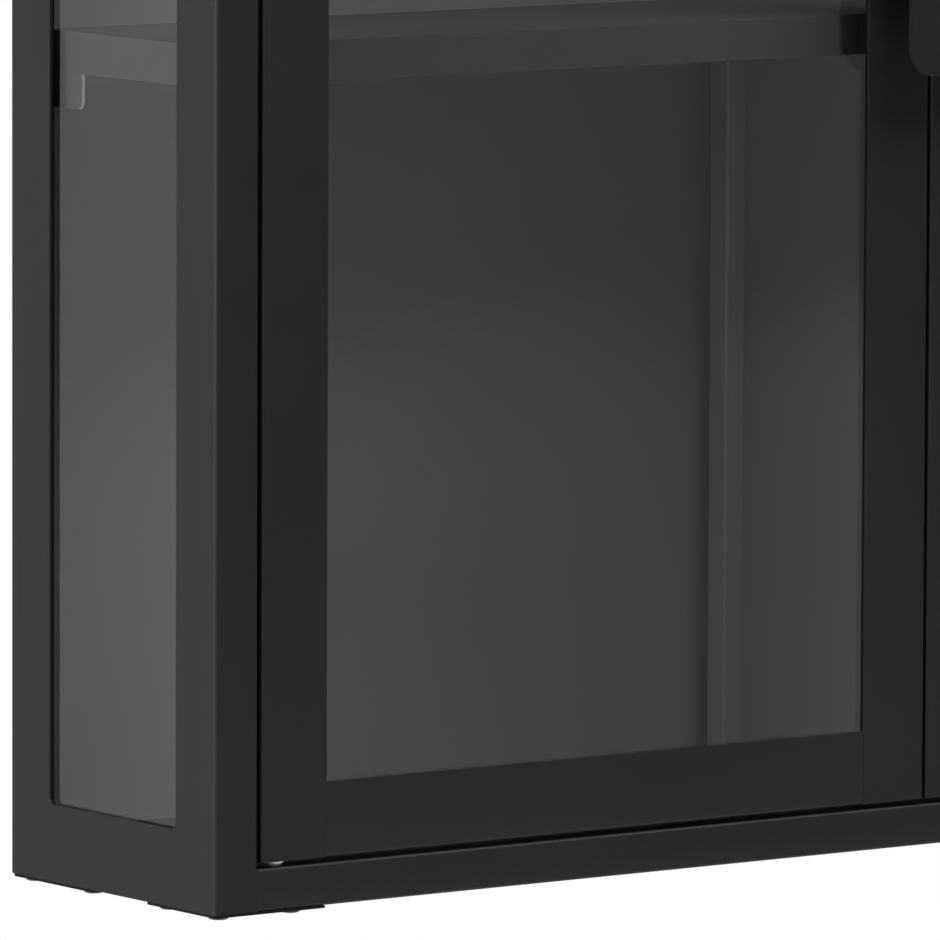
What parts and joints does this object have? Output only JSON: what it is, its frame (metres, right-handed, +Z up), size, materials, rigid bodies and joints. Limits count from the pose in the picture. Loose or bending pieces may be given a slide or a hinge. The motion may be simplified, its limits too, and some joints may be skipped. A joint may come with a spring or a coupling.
{
  "type": "wall mounted showcase",
  "caption": "shallow black steel wall cabinet with glazed sides, a pair of framed glass doors on corner pivots, flat plate pull handles and folded shelves",
  "frame": {"origin": "middle of the wall rail's rear face, which lies in the plane of the wall", "axes": "+X to the right seen from the front, +Y into the wall, +Z up; the doors face -Y"},
  "size_m": [1, 0.235, 1.4032],
  "materials": {
    "black_coat": "fine matt powder coat, near black",
    "back_coat": "satin powder coat, near black",
    "shelf_coat": "satin powder coat, near black",
    "clear_glass": "clear toughened glass",
    "black_rubber": "matt black glazing seal",
    "white_nylon": "white moulded pivot plugs",
    "bright_zinc": "bright plated pins and strike plates",
    "black_steel": "blackened steel hardware",
    "grey_plastic": "dark grey moulded catch"
  },
  "bodies": {
    "cabinet": {"side_frame_left": "black_coat", "side_glass_left": "clear_glass", "side_seal_left": "black_rubber", "side_frame_right": "black_coat", "side_glass_right": "clear_glass", "side_seal_right": "black_rubber", "bottom_tray": "black_coat", "top_tray": "black_coat", "back_panel_left": "back_coat", "back_panel_right": "back_coat", "back_joint_strip": "back_coat", "wall_rail": "black_coat", "shelf_lower": "shelf_coat", "shelf_lower_support_rear_left": "shelf_coat", "shelf_lower_support_front_left": "shelf_coat", "shelf_lower_support_rear_right": "shelf_coat", "shelf_lower_support_front_right": "shelf_coat", "shelf_upper": "shelf_coat", "shelf_upper_support_rear_left": "shelf_coat", "shelf_upper_support_front_left": "shelf_coat", "shelf_upper_support_rear_right": "shelf_coat", "shelf_upper_support_front_right": "shelf_coat", "corner_plate_front_left": "black_steel", "corner_bolt_front_left": "black_steel", "corner_plate_rear_left": "black_steel", "corner_bolt_rear_left": "black_steel", "corner_plate_front_right": "black_steel", "corner_bolt_front_right": "black_steel", "corner_plate_rear_right": "black_steel", "corner_bolt_rear_right": "black_steel", "pivot_pin_bottom_left": "bright_zinc", "pivot_pin_top_left": "bright_zinc", "pivot_pin_bottom_right": "bright_zinc", "pivot_pin_top_right": "bright_zinc", "door_catch": "grey_plastic"},
    "left_door": {"left_door_hinge_stile": "black_coat", "left_door_free_stile": "black_coat", "left_door_glass": "clear_glass", "left_door_seal": "black_rubber", "left_door_bottom_rail": "black_coat", "left_door_pivot_plug_bottom": "white_nylon", "left_door_top_rail": "black_coat", "left_door_pivot_plug_top": "white_nylon", "left_door_handle_plate": "black_coat", "left_door_handle_post_lower": "black_steel", "left_door_handle_post_upper": "black_steel", "left_door_strike_plate": "bright_zinc"},
    "right_door": {"right_door_hinge_stile": "black_coat", "right_door_free_stile": "black_coat", "right_door_glass": "clear_glass", "right_door_seal": "black_rubber", "right_door_bottom_rail": "black_coat", "right_door_pivot_plug_bottom": "white_nylon", "right_door_top_rail": "black_coat", "right_door_pivot_plug_top": "white_nylon", "right_door_handle_plate": "black_coat", "right_door_handle_post_lower": "black_steel", "right_door_handle_post_upper": "black_steel", "right_door_strike_plate": "bright_zinc"}
  },
  "joints": [
    {"name": "left_door_hinge", "type": "hinge", "parent": "cabinet", "child": "left_door", "pos_m": [-0.45475, -0.197, -0.651], "axis": [0, 0, -1], "range_deg": [0, 110]},
    {"name": "right_door_hinge", "type": "hinge", "parent": "cabinet", "child": "right_door", "pos_m": [0.45475, -0.197, -0.651], "axis": [0, 0, 1], "range_deg": [0, 110]}
  ]
}
